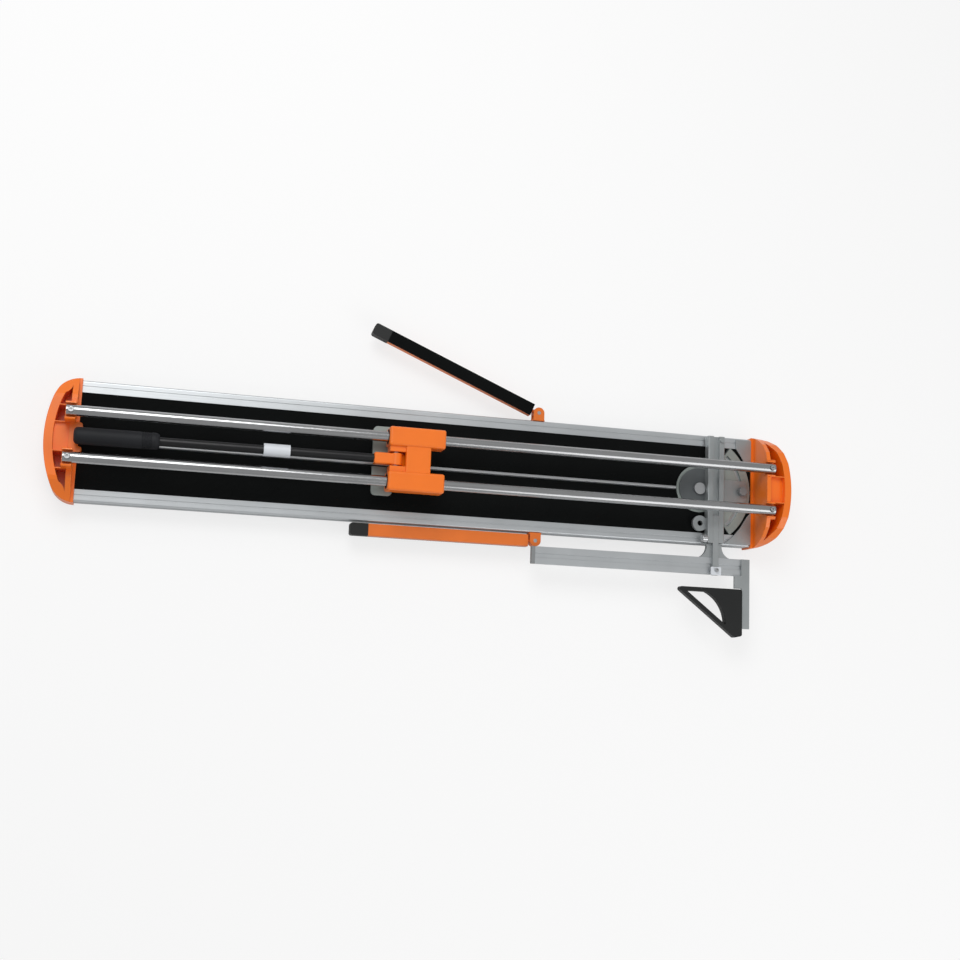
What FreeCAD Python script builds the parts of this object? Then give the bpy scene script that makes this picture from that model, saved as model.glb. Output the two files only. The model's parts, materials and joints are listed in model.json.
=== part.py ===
"""Manual tile cutter: two round guide rails over a long padded table, with a scoring carriage, a folding
lever, a breaker foot, a swivelling measuring fence with a side ruler and square, and two swing-out arms.

Frame: X along the cut, Y across it (+Y is the far side), Z up. The origin is on the floor at the middle of
the table. Units are millimetres. Every size that can be set by itself is a row of the Sizes sheet."""
import FreeCAD, Part
import math
import os
import re
from FreeCAD import Placement, Rotation, Vector

doc = FreeCAD.newDocument("TileCutter")
sheet = doc.addObject("Spreadsheet::Sheet", "Sizes")

SIZES = [
    # overall
    ("overall_length", 1580, "end to end of the two end supports"),
    ("base_width", 244, "outside of one side profile to outside of the other"),
    ("table_top", 52, "height of the side profiles' top face"),
    ("foot_height", 12, "rubber foot under the frame"),
    ("fit_gap", 0.3, "free gap between pieces that don't touch"),
    ("run_gap", 0.05, "radial running clearance of a shaft in its hole"),
    # side profiles, spine and table
    ("profile_width", 24.5, "width of one side profile"),
    ("profile_height", 34, "height of one side profile"),
    ("profile_wall", 3, "wall of the extrusions"),
    ("ledge_width", 7, "ledge of a side profile that carries the table plate"),
    ("spine_width", 44, "width of the centre spine"),
    ("spine_rib", 8, "width of the rib that carries the breaker strip"),
    ("plate_thick", 3, "table plate"),
    ("pad_thick", 5, "rubber pad on the table plate"),
    ("pad_proud", 1, "rubber pad above the side profiles"),
    ("strip_width", 6, "breaker strip"),
    ("strip_proud", 3, "breaker strip above the side profiles"),
    ("tie_width", 40, "cross member along X"),
    ("tie_thick", 6, "cross member"),
    ("tie_spacing", 420, "distance between cross members"),
    # end supports
    ("end_depth", 64, "depth of an end support along X"),
    ("end_corner", 48, "corner radius of an end support in plan"),
    ("end_bow", 250, "radius of the bowed outer end in plan"),
    ("end_wall", 6, "wall of the end support casting"),
    ("deck_top", 56, "height of the end support's deck beside the table"),
    ("rim_wall", 17, "thickness of the upstanding rim"),
    ("rim_top", 88, "height of the rim across the middle"),
    ("rim_flat", 80, "half the width over which the rim keeps its height"),
    ("middle_top", 80, "height of the deck between the rails"),
    ("high_wall", 15, "thickness of the right support's domed rim"),
    ("high_top", 126, "height of the right support's domed rim"),
    ("high_middle", 114, "height of the right support's deck between the rails"),
    ("high_floor", 50, "floor of the right support's side recesses"),
    ("pocket_floor", 40, "floor of the recesses beside the rails"),
    ("cradle_half", 18, "half the width of the cradle under a rail end"),
    ("cradle_length", 20, "cradle along X"),
    ("cradle_top", 126, "height of the cradle walls"),
    ("slot_side", 3, "room beside the rail end in its open slot"),
    ("slot_floor", 116, "height of the floor of a rail slot"),
    ("tongue_length", 8, "handle rest inwards from the left support"),
    ("tongue_width", 60, "handle rest across"),
    # rails
    ("rail_dia", 22, "guide rail"),
    ("rail_gap", 92, "distance between the rails' centre lines"),
    ("rail_height", 122, "rail centre above the floor"),
    ("rail_inset", 40, "end of a rail from the end of the tool"),
    # carriage
    ("car_left", -116, "left end of the carriage"),
    ("car_length", 118, "length of the carriage's bearing blocks"),
    ("block_width", 40, "bearing block across a rail"),
    ("block_height", 40, "bearing block"),
    ("block_round", 5, "rounding of the bearing blocks"),
    ("bridge_left", -80, "left face of the bridge between the blocks"),
    ("bridge_length", 52, "bridge along X"),
    ("bridge_drop", 3, "bridge below the top of the blocks"),
    ("bridge_thick", 27, "bridge thickness"),
    ("bush_wall", 5, "wall of a linear bushing"),
    ("bush_length", 30, "length of a linear bushing"),
    ("wiper_length", 4, "rail wiper ring"),
    # lever
    ("pivot_x", -98, "lever pivot"),
    ("pivot_z", 120, "lever pivot"),
    ("pivot_dia", 12, "lever pivot pin"),
    ("lug_inner", 15, "inner face of a pivot lug from the middle"),
    ("head_width", 24, "lever head across"),
    ("head_round", 13, "radius of the lever head round its pivot"),
    ("head_length", 46, "lever head from the pivot"),
    ("head_height", 22, "lever head"),
    ("lever_droop", 1.2, "degrees that the folded lever slopes down"),
    ("bar_dia", 18, "lever bar"),
    ("bar_start", 30, "start of the bar from the pivot"),
    ("lever_reach", 635, "lever from the pivot to the end of the grip"),
    ("grip_dia", 34, "grip"),
    ("grip_length", 163, "grip"),
    ("grip_bore", 130, "depth of the bar in the grip"),
    ("label_dia", 26, "plain collar on the bar"),
    ("label_start", 216, "near end of the collar from the pivot"),
    ("label_length", 53, "length of the collar"),
    # scoring wheel
    ("wheel_dia", 22, "scoring wheel"),
    ("wheel_thick", 3, "scoring wheel"),
    ("wheel_reach", 47.7, "wheel axle from the lever pivot"),
    ("wheel_angle", 33, "degrees that the wheel arm slopes down"),
    ("fork_start", 22, "start of the wheel fork from the pivot"),
    ("fork_width", 11, "wheel fork across"),
    ("fork_height", 16, "wheel fork"),
    ("axle_dia", 5, "wheel axle"),
    # breaker foot
    ("foot_left", -142, "left edge of the breaker foot"),
    ("foot_right", -30, "right edge of the breaker foot"),
    ("foot_low", 88, "underside of the breaker foot plate at rest"),
    ("foot_thick", 5, "breaker foot plate"),
    ("foot_half", 28, "half the width of the middle of the foot"),
    ("foot_window", 12.5, "half the width of the opening for the wheel"),
    ("window_left", -150, "left edge of the opening for the wheel"),
    ("window_right", -42, "right edge of the opening for the wheel"),
    ("wing_reach", 72, "outer end of a wing from the cut line"),
    ("wing_length", 44, "wing along X"),
    ("shoe_inner", 32, "inner edge of a rubber shoe from the cut line"),
    ("shoe_thick", 7, "rubber shoe under a wing"),
    ("guide_x", -58, "guide pins of the breaker foot"),
    ("guide_y", 19.5, "guide pins of the breaker foot from the cut line"),
    ("guide_dia", 8, "guide pin"),
    ("guide_top", 132, "upper end of a guide pin"),
    ("bellows_dia", 12, "rubber return bellows"),
    ("bellows_ribs", 5, "ribs of a return bellows"),
    # swivelling fence
    ("swivel_x", 600, "fence pivot on the cut line"),
    ("swivel_dia", 12, "fence pivot stud"),
    ("swivel_disc", 52, "radius of the fixed swivel base round the stud"),
    ("sector_radius", 124, "radius of the angle scale"),
    ("sector_half", 52, "degrees of the angle scale on each side"),
    ("sector_slot", 102, "radius of the locking slot"),
    ("sector_slot_width", 9, "width of the locking slot"),
    ("table_disc", 46, "radius of the turntable"),
    ("turntable_thick", 4, "turntable"),
    ("fence_front", 14, "fence face behind the pivot"),
    ("fence_width", 39, "fence bar along X"),
    ("fence_height", 18, "fence bar"),
    ("fence_far", 118, "far end of the fence bar"),
    ("fence_near", 121, "near end of the fence bar"),
    ("groove_width", 14, "groove in the top of the fence bar"),
    ("groove_depth", 8, "groove in the top of the fence bar"),
    ("slide_in", 60, "far end of the sliding bar"),
    ("flare_root", 36, "width of the flared bracket at the fence"),
    ("flare_width", 72, "width of the flared bracket at the ruler"),
    ("lobe_y", 78, "index lobe of the fence from the cut line"),
    ("lobe_dia", 34, "index lobe of the fence"),
    # side ruler and square
    ("ruler_left", 214, "left end of the side ruler"),
    ("ruler_right", 716, "right end of the side ruler"),
    ("ruler_inner", 153, "inner edge of the side ruler from the cut line"),
    ("ruler_width", 37, "side ruler"),
    ("ruler_height", 10, "side ruler"),
    ("cap_length", 8, "plastic cap at each end of the ruler"),
    ("square_neck", 680, "left edge of the square's neck"),
    ("square_strip", 697, "left face of the square's upright strip"),
    ("square_thick", 5, "square plate"),
    ("square_reach", 306, "outer end of the square from the cut line"),
    ("grip_end", 330, "outer tip of the triangular grip from the cut line"),
    ("grip_top", 220, "inner edge of the triangular grip"),
    ("grip_point", 540, "left point of the triangular grip"),
    ("grip_thick", 16, "triangular grip"),
    ("grip_edge", 9, "thin sides of the triangular grip"),
    # swing-out arms
    ("arm_x", 226, "hinge of the swing-out arms"),
    ("arm_y", 139.5, "hinge of the swing-out arms from the cut line"),
    ("arm_z", 43, "middle height of an arm"),
    ("arm_width", 26, "arm across"),
    ("arm_thick", 20, "arm"),
    ("arm_reach", 400, "arm from hinge to tip"),
    ("arm_root", 16, "start of the arm from its hinge"),
    ("arm_wall", 2.5, "wall of the arm channel"),
    ("arm_rubber", 4, "rubber tread of an arm"),
    ("arm_cap", 38, "plastic cap at the tip of an arm"),
    ("arm_open", 22.3, "degrees that the far arm stands open"),
    ("knuckle_dia", 24, "arm knuckle"),
    ("knuckle_height", 12, "space between the ears of an arm bracket"),
    ("hinge_dia", 8, "arm hinge pin"),
    ("spigot_dia", 8, "round spigot that the arm turns on"),
    ("ear_thick", 4, "ear of an arm bracket"),
]
VALUE = {}
for row, (alias, value, note) in enumerate(SIZES, 1):
    sheet.set(f"A{row}", note)
    sheet.set(f"B{row}", str(value))
    sheet.setAlias(f"B{row}", alias)
    VALUE[alias] = float(value)
doc.recompute()

X_AXIS, Y_AXIS, Z_AXIS = Vector(1, 0, 0), Vector(0, 1, 0), Vector(0, 0, 1)
TURN = {"X": Rotation(Y_AXIS, 90), "Y": Rotation(X_AXIS, -90), "Z": Rotation()}
nodes = []


def cells(text):
    """An expression in which every alias is read from the sheet."""
    return re.sub(r"[A-Za-z_]+", lambda m: f"Sizes.{m[0]}" if m[0] in VALUE else m[0], str(text))


probe = doc.addObject("App::FeaturePython", "probe")
probe.addProperty("App::PropertyFloat", "Value")


def num(text):
    """The present value of an expression of aliases, worked out by the document itself."""
    probe.setExpression("Value", cells(text))
    probe.recompute()
    return probe.Value


def bind(obj, **props):
    for prop, text in props.items():
        obj.setExpression(prop.replace("_", "."), cells(text))
    return obj


def place(obj, x, y, z):
    for axis, text in zip("xyz", (x, y, z)):
        obj.setExpression(f"Placement.Base.{axis}", cells(text))
    return obj


def block(x, y, z):
    """A box from a low to a high value on each axis."""
    obj = doc.addObject("Part::Box", "block")
    bind(obj, Length=f"({x[1]}) - ({x[0]})", Width=f"({y[1]}) - ({y[0]})", Height=f"({z[1]}) - ({z[0]})")
    return place(obj, x[0], y[0], z[0])


def rod(axis, radius, span, at):
    """A cylinder along one axis, from span[0] to span[1], at the other two coordinates."""
    obj = doc.addObject("Part::Cylinder", "rod")
    obj.Placement = Placement(Vector(), TURN[axis])
    bind(obj, Radius=radius, Height=f"({span[1]}) - ({span[0]})")
    spot = list(at)
    spot.insert("XYZ".index(axis), span[0])
    return place(obj, *spot)


def fuse(*parts):
    obj = doc.addObject("Part::MultiFuse", "fuse")
    obj.Shapes = list(parts)
    obj.Refine = True
    return obj


def cut(base, *tools):
    obj = doc.addObject("Part::Cut", "cut")
    obj.Base = base
    obj.Tool = tools[0] if len(tools) == 1 else fuse(*tools)
    obj.Refine = True
    return obj


def group(*parts):
    obj = doc.addObject("Part::Compound", "group")
    obj.Links = list(parts)
    return obj


def rounded(base, radius, wanted):
    """A Part::Fillet of the edges of base for which wanted(edge) is true."""
    doc.recompute()
    found = [i for i, edge in enumerate(base.Shape.Edges, 1) if wanted(edge)]
    obj = doc.addObject("Part::Fillet", "rounded")
    obj.Base = base
    obj.Edges = [(i, num(radius), num(radius)) for i in found]
    return obj


def shaped(shape):
    """A Part::Feature for a shape that no primitive or sketch gives."""
    obj = doc.addObject("Part::Feature", "shaped")
    obj.Shape = shape
    return obj


def node(name, obj):
    """Names one separate piece, or one group of like pieces."""
    obj.Label = name
    nodes.append((name, obj))
    return obj


def moved(obj, matrix):
    """A copy of obj's shape under a placement, for mirrored or tilted pieces."""
    doc.recompute()
    return shaped(obj.Shape.transformed(matrix.toMatrix(), copy=True))


def mirrored(obj, normal):
    """A mirror image of obj through the plane at the origin with that normal."""
    copy = doc.addObject("Part::Mirroring", "mirrored")
    copy.Source = obj
    copy.Normal = normal
    return copy


def along(edge, direction):
    """True for a straight edge that runs in that direction."""
    return edge.Curve.TypeId == "Part::GeomLine" and abs(edge.tangentAt(edge.FirstParameter).dot(direction)) > 0.999


def sketch_body(name, plane, geometry):
    """A PartDesign body with one sketch on an origin plane; geometry is a list of Part curves."""
    body = doc.addObject("PartDesign::Body", name)
    origin = next(f for f in body.Origin.OriginFeatures if f.Role == plane)
    sketch = body.newObject("Sketcher::SketchObject", f"{name}_sketch")
    sketch.AttachmentSupport = (origin, [""])
    sketch.MapMode = "FlatFace"
    sketch.addGeometry(geometry, False)
    return body, sketch


def outline(points):
    """Closed polygon of line segments through 2D points."""
    spots = [Vector(u, v, 0) for u, v in points]
    return [Part.LineSegment(a, b) for a, b in zip(spots, spots[1:] + spots[:1])]


def pad(name, plane, geometry, length, middle=False):
    """A PartDesign pad of one sketch."""
    body, sketch = sketch_body(name, plane, geometry)
    feature = body.newObject("PartDesign::Pad", f"{name}_pad")
    feature.Profile = sketch
    feature.Midplane = middle
    feature.setExpression("Length", cells(length))
    body.Tip = feature
    return body


def revolve(name, points, plane="XZ_Plane"):
    """A PartDesign revolution, about X, of a closed polygon of (x, radius) points."""
    body, sketch = sketch_body(name, plane, outline(points))
    feature = body.newObject("PartDesign::Revolution", f"{name}_turned")
    feature.Profile = sketch
    feature.ReferenceAxis = (sketch, ["H_Axis"])
    feature.Angle = 360
    body.Tip = feature
    return body


def cap_screw(head_radius, head_height, radius, length, spot, direction):
    """A socket-head screw whose head's underside is at spot; the shank runs along direction."""
    shank = Part.makeCylinder(radius, length, Vector(), Z_AXIS)
    head = Part.makeCylinder(head_radius, head_height, Vector(0, 0, -head_height), Z_AXIS)
    hexagon = Part.makePolygon([Vector(head_radius * 0.55 * math.cos(math.radians(60 * i)),
                                       head_radius * 0.55 * math.sin(math.radians(60 * i)), -head_height)
                                for i in range(7)])
    socket = Part.Face(hexagon).extrude(Vector(0, 0, head_height * 0.6))
    screw = shank.fuse(head).removeSplitter().cut(socket)
    screw.Placement = Placement(Vector(*spot), Rotation(Z_AXIS, Vector(*direction)))
    return screw


def screws(name, size, length, spots, direction):
    """One node of like socket-head screws: size is the thread, length the shank."""
    head, tall = size * 0.85, size
    made = [cap_screw(head, tall, size / 2, length, spot, direction) for spot in spots]
    return node(name, shaped(Part.makeCompound(made)))


# ---------------------------------------------------------------- the frame
END_FACE = "(overall_length / 2 - end_depth)"
PROFILE_LOW = "(table_top - profile_height)"
PLATE_TOP = "(table_top + pad_proud - pad_thick)"
PLATE_LOW = f"({PLATE_TOP} - plate_thick)"
INNER = "(base_width / 2 - profile_width)"


def side_profile():
    """Extruded tube with a rounded top edge, a top groove and a ledge that carries the table plate."""
    out, inner = num("base_width / 2"), num(INNER)
    low, top, wall = num(PROFILE_LOW), num("table_top"), num("profile_wall")
    ledge, seat = num("ledge_width"), num(PLATE_LOW)
    skin = [(inner - ledge, seat - wall), (inner, seat - wall), (inner, low), (out, low), (out, top), (inner, top),
            (inner, seat), (inner - ledge, seat)]
    hollow = [(inner + wall, low + wall), (out - wall, low + wall), (out - wall, top - wall), (inner + wall, top - wall)]
    body = pad("side_profile", "YZ_Plane", outline(skin) + outline(hollow), f"2 * {END_FACE}", middle=True)
    return body


def top_groove(profile):
    """A shallow groove along the top and a T-slot along the outside of a side profile."""
    span = (f"-{END_FACE} - 1", f"{END_FACE} + 1")
    top = block(span, ("base_width / 2 - profile_width / 2 - 1.5", "base_width / 2 - profile_width / 2 + 1.5"),
                ("table_top - 1.2", "table_top + 1"))
    side = block(span, ("base_width / 2 - 1.5", "base_width / 2 + 1"),
                 ("table_top - profile_height / 2 - 3", "table_top - profile_height / 2 + 3"))
    grooved = cut(profile, top, side)
    return rounded(grooved, 3.5, lambda e: along(e, X_AXIS) and abs(e.CenterOfMass.y - num("base_width / 2")) < 0.01
                   and abs(e.CenterOfMass.z - num("table_top")) < 0.01)


far_profile = top_groove(side_profile())


def spine():
    """Hollow centre extrusion with flanges under the table plates and a rib under the breaker strip."""
    half, rib, wall = num("spine_width / 2"), num("spine_rib / 2"), num("profile_wall")
    low, seat, plate_top = num(PROFILE_LOW), num(PLATE_LOW), num(PLATE_TOP)
    skin = [(-half, low), (half, low), (half, seat), (rib, seat), (rib, plate_top), (-rib, plate_top),
            (-rib, seat), (-half, seat)]
    hollow = [(-half + wall, low + wall), (half - wall, low + wall), (half - wall, seat - wall),
              (-half + wall, seat - wall)]
    return pad("centre_spine", "YZ_Plane", outline(skin) + outline(hollow), f"2 * {END_FACE}", middle=True)


STUD_FLOOR = "(table_top - 30)"
node("breaker_strip", rounded(
    block((f"-{END_FACE}", "swivel_x - swivel_disc - 1"), ("-strip_width / 2", "strip_width / 2"),
          (PLATE_TOP, "table_top + strip_proud")), 1.6,
    lambda e: along(e, X_AXIS) and e.CenterOfMass.z > num("table_top")))


def table_plate():
    """Sheet metal plate between the spine's rib and a side profile."""
    plate = block((f"-{END_FACE}", END_FACE), ("spine_rib / 2 + fit_gap", f"{INNER} - fit_gap"),
                  (PLATE_LOW, PLATE_TOP))
    return cut(plate, rod("Z", "swivel_dia / 2 + fit_gap", ("0", "table_top"), ("swivel_x", "0")))


far_plate = table_plate()
node("far_table_plate", far_plate)
node("near_table_plate", mirrored(far_plate, Y_AXIS))


def sector(radius, half_angle, low, high, inner=0.0):
    """A flat sector about the fence pivot, open towards +X, between two heights."""
    a = math.radians(half_angle)
    centre = Vector(num("swivel_x"), 0, low)

    def at(r, angle):
        return centre + Vector(r * math.cos(angle), r * math.sin(angle), 0)

    outer = Part.Arc(at(radius, -a), at(radius, 0), at(radius, a)).toShape()
    if inner:
        back = Part.Arc(at(inner, a), at(inner, 0), at(inner, -a)).toShape()
    else:
        back = None
    ends = [Part.makeLine(at(radius, a), at(inner, a)), Part.makeLine(at(inner, -a), at(radius, -a))]
    edges = [outer, ends[0]] + ([back] if back else []) + [ends[1]]
    return Part.Face(Part.Wire(Part.__sortEdges__(edges))).extrude(Vector(0, 0, high - low))


def swivel_footprint(low, high, grow):
    """Round base and sector of the fence swivel, grown by a margin."""
    disc = Part.makeCylinder(num("swivel_disc") + grow, high - low, Vector(num("swivel_x"), 0, low))
    return disc.fuse(sector(num("sector_radius") + grow, num("sector_half") + math.degrees(grow / 60), low, high))


def rubber_pad():
    """Ribbed rubber pad on a table plate, cut away round the fence swivel."""
    sheet_pad = block((f"-{END_FACE}", END_FACE), ("strip_width / 2 + 1.5", f"{INNER} - fit_gap"),
                      (PLATE_TOP, "table_top + pad_proud"))
    doc.recompute()
    hole = swivel_footprint(num(PLATE_TOP) - 1, num("table_top") + 9, 1.0)
    return cut(sheet_pad, shaped(hole))


far_pad = rubber_pad()
node("far_rubber_pad", far_pad)
node("near_rubber_pad", mirrored(far_pad, Y_AXIS))

TIE_X = [-1.5, -0.5, 0.5, 1.5]
TIE_LOW = f"({PROFILE_LOW} - tie_thick)"
TIE_SPOTS = [(k * num("tie_spacing"), y, num(TIE_LOW)) for k in TIE_X
             for y in (-num(INNER) - 12, -13, 13, num(INNER) + 12)]
TIE_BOLT = num("profile_wall + tie_thick") + 4


def drilled(obj, size, length, spots, direction):
    """obj with a clearance hole for every screw at spots."""
    way = Vector(*direction)
    radius = size / 2 + num("run_gap")
    holes = [Part.makeCylinder(radius, length + 1, Vector(*spot) - way * 0.5, way) for spot in spots]
    return cut(obj, shaped(Part.makeCompound(holes)))


ties = [block((f"{k} * tie_spacing - tie_width / 2", f"{k} * tie_spacing + tie_width / 2"),
              ("-base_width / 2 + 4", "base_width / 2 - 4"), (TIE_LOW, PROFILE_LOW)) for k in TIE_X]
node("cross_members", drilled(group(*ties), 5, TIE_BOLT, TIE_SPOTS, (0, 0, 1)))
screws("cross_member_screws", 5, TIE_BOLT, TIE_SPOTS, (0, 0, 1))
far_profile = drilled(far_profile, 5, TIE_BOLT, TIE_SPOTS, (0, 0, 1))
node("far_side_profile", far_profile)
node("near_side_profile", mirrored(far_profile, Y_AXIS))
stud_hole = rod("Z", "swivel_dia / 2 + run_gap", (STUD_FLOOR, "table_top + 9"), ("swivel_x", "0"))
node("centre_spine", drilled(cut(spine(), stud_hole), 5, TIE_BOLT, TIE_SPOTS, (0, 0, 1)))


# ---------------------------------------------------------------- end supports
def end_plan(inset, low, high):
    """The bowed plan of the right end support as a solid between two heights, shrunk by an inset."""
    half = num("base_width / 2") + 3 - inset
    corner = num("end_corner") - inset
    bow = num("end_bow") - inset
    bow_x = num("overall_length / 2 - end_bow")
    corner_y = num("base_width / 2") + 3 - num("end_corner")
    corner_x = bow_x + math.sqrt((num("end_bow") - num("end_corner")) ** 2 - corner_y ** 2)
    reach = math.hypot(corner_x - bow_x, corner_y)
    tip_x = bow_x + bow * (corner_x - bow_x) / reach
    tip_y = bow * corner_y / reach
    face = num(END_FACE) + inset
    turn = math.atan2(corner_y, corner_x - bow_x)
    half_turn = (math.pi / 2 + turn) / 2
    middle = (corner_x + corner * math.cos(half_turn), corner_y + corner * math.sin(half_turn))
    side = max(corner_x, face + 0.1)

    def at(x, y):
        return Vector(x, y, low)

    edges = [Part.makeLine(at(face, -half), at(side, -half)),
             Part.Arc(at(side, -half), at(middle[0], -middle[1]), at(tip_x, -tip_y)).toShape(),
             Part.Arc(at(tip_x, -tip_y), at(bow_x + bow, 0), at(tip_x, tip_y)).toShape(),
             Part.Arc(at(tip_x, tip_y), at(middle[0], middle[1]), at(side, half)).toShape(),
             Part.makeLine(at(side, half), at(face, half)),
             Part.makeLine(at(face, half), at(face, -half))]
    return Part.Face(Part.Wire(edges)).extrude(Vector(0, 0, high - low))


def end_support(with_tongue):
    """Cast end support at the +X end: a hollow foot, a bowed rim, a middle deck and a cradle for each rail."""
    foot, deck, rim_top = num("foot_height"), num("deck_top"), num("rim_top")
    out, flat, middle = num("base_width / 2") + 3, num("rim_flat"), num("middle_top")
    face, end, wall = num(END_FACE), num("overall_length / 2"), num("end_wall")
    raised, rim = face + 6, num("rim_wall")
    line = [(-out, foot + 20), (-out, deck), (-out + 7, deck + 5), (-flat - 6, rim_top - 3), (-flat + 2, rim_top)]
    if not with_tongue:
        rim_top, middle, rim = num("high_top"), num("high_middle"), num("high_wall")
        rise = rim_top - deck
        line = line[:2] + [(-out + 9, deck + 0.34 * rise), (-out + 21, deck + 0.63 * rise),
                           (-out + 41, deck + 0.89 * rise), (-out + 65, rim_top)]
    line += [(-y, z) for y, z in reversed(line)]
    upper = Part.Face(Part.makePolygon([Vector(raised, y, z) for y, z in line + line[:1]]))
    upper = upper.extrude(Vector(end - raised, 0, 0)).common(end_plan(0, 0, rim_top + 10))
    inside = end_plan(rim, 0, 300)
    half = num("cradle_half")
    inner = num("rail_gap / 2") - half
    bay = num("rail_gap / 2") + half
    back = raised + num("cradle_length")
    body = end_plan(0, foot, deck).fuse(upper)
    open_top = Part.makeBox(end, 2 * inner, 90, Vector(raised + 3, -inner, middle)).common(inside)
    tools = [open_top, end_plan(wall, foot - 1, deck - 22)]
    for side in (1, -1):
        pocket = Part.makeBox(end, out - bay - 8, 300, Vector(raised + 5, 0, num("pocket_floor")))
        pocket.translate(Vector(0, bay if side > 0 else -out + 8, 0))
        if not with_tongue:
            pocket = Part.makeBox(end, out - bay - 9, 300, Vector(face + 3, bay + 2 if side > 0 else -out + 7,
                                                                 num("high_floor")))
            fin = Part.makeBox(end, 6, 300, Vector(back, bay - 3 if side > 0 else -bay - 3, num("high_floor")))
            bed = Part.makeBox(back - raised + 1, 2 * half, 300, Vector(raised - 1, side * num("rail_gap / 2") - half, deck))
            tools += [fin.common(inside), bed]
        well = Part.makeBox(end, 2 * half - 4, 300, Vector(back, side * num("rail_gap / 2") - half + 2,
                                                          num("pocket_floor")))
        tools += [pocket.common(inside), well.common(inside)]
    body = body.cut(tools)
    cradles = []
    for side in (1, -1):
        y = side * num("rail_gap / 2")
        cradle = Part.makeBox(back - raised, 2 * half, num("cradle_top") - deck + 2, Vector(raised, y - half, deck - 2))
        cradle = cradle.makeFillet(3, [e for e in cradle.Edges if e.CenterOfMass.z > num("cradle_top") - 1
                                       and along(e, X_AXIS)])
        slot_half = num("rail_dia / 2 + slot_side")
        cradle = cradle.cut([
            Part.makeBox(90, 2 * slot_half, 90, Vector(raised - 1, y - slot_half, num("slot_floor"))),
            Part.makeCylinder(num("rail_dia / 2 + run_gap"), 90, Vector(raised - 1, y, num("rail_height")), X_AXIS),
            Part.makeBox(90, 2 * half - 14, 96 - deck, Vector(raised + 6, y - half + 7, 0))])
        cradles.append(cradle)
    body = body.fuse(cradles)
    if with_tongue:
        length, across = num("tongue_length"), num("tongue_width / 2")
        tongue = Part.makeBox(length + 12, 2 * across, middle - deck + 8, Vector(face - length, -across, deck))
        tongue = tongue.makeFillet(6, [e for e in tongue.Edges if along(e, Z_AXIS) and e.CenterOfMass.x < face])
        tongue = tongue.cut(Part.makeCylinder(num("grip_dia / 2") + 3, 60, Vector(face - length - 4, 0, deck)))
        body = body.fuse(tongue)
    bosses = [Part.makeCylinder(14, deck - 22 - foot + 1, Vector(end - 34, y, foot)) for y in (-88, 88)]
    return shaped(body.fuse(bosses).removeSplitter())


RAIL_SCREW = [(num("overall_length / 2 - rail_inset") - 9, s * num("rail_gap / 2"), num("rail_height + rail_dia / 2") - 3)
              for s in (1, -1)]
SCREW_DEEP = num("rail_dia") + 4
right_end = drilled(end_support(False), 6, SCREW_DEEP, RAIL_SCREW, (0, 0, -1))
node("right_end_support", right_end)
left_end = drilled(end_support(True), 6, SCREW_DEEP, RAIL_SCREW, (0, 0, -1))
node("left_end_support", mirrored(left_end, X_AXIS))


def guide_rail():
    """Round rail with a spot-faced cross hole at each end for its clamp screw."""
    half = "(overall_length / 2 - rail_inset)"
    bar = rod("X", "rail_dia / 2", (f"-{half}", half), ("rail_gap / 2", "rail_height"))
    tools = []
    for x, y, z in [RAIL_SCREW[0], (-RAIL_SCREW[0][0], RAIL_SCREW[0][1], RAIL_SCREW[0][2])]:
        tools.append(Part.makeCylinder(6, 10, Vector(x, y, z)))
        tools.append(Part.makeCylinder(3 + num("run_gap"), 60, Vector(x, y, z - 50)))
    return cut(bar, shaped(Part.makeCompound([tools[0].fuse(tools[1]), tools[2].fuse(tools[3])])))


far_rail = guide_rail()
node("far_guide_rail", far_rail)
node("near_guide_rail", mirrored(far_rail, Y_AXIS))
rail_spots = [(sx * x, y, z) for sx in (1, -1) for x, y, z in RAIL_SCREW]
screws("rail_screws", 6, SCREW_DEEP - 1, rail_spots, (0, 0, -1))

# ---------------------------------------------------------------- feet
feet = [rod("Z", "14", ("0", "foot_height"), (f"{sx} * (overall_length / 2 - 34)", f"{sy} * 88"))
        for sx in (1, -1) for sy in (1, -1)]
node("corner_feet", group(*feet))
node("middle_foot", rod("Z", "18", ("0", PROFILE_LOW), ("0", "0")))


# ---------------------------------------------------------------- gusset plates on the table's right corners
def gusset(points):
    """Flat corner plate on the rubber beside the right end support."""
    low = num("table_top + pad_proud")
    face = Part.Face(Part.makePolygon([Vector(x, y, low) for x, y in points + points[:1]]))
    return shaped(face.extrude(Vector(0, 0, 3)))


FACE_X = num(END_FACE)
node("far_corner_plate", gusset([(FACE_X - 36, 118), (FACE_X, 118), (FACE_X, 46), (FACE_X - 9, 56),
                                 (FACE_X - 24, 80), (FACE_X - 36, 97)]))
node("near_corner_plate", gusset([(FACE_X - 62, -118), (FACE_X, -118), (FACE_X, -46), (FACE_X - 9, -56),
                                  (FACE_X - 24, -80), (FACE_X - 42, -101)]))

# ---------------------------------------------------------------- carriage
BLOCK = ("car_left", "car_left + car_length")


def bearing_block():
    """Block that rides on one rail."""
    base = block(BLOCK, ("rail_gap / 2 - block_width / 2", "rail_gap / 2 + block_width / 2"),
                 ("rail_height - block_height / 2", "rail_height + block_height / 2"))
    return rounded(base, "block_round", lambda e: along(e, X_AXIS) or (
        along(e, Y_AXIS) and e.CenterOfMass.z > num("rail_height")) or along(e, Z_AXIS))


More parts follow.
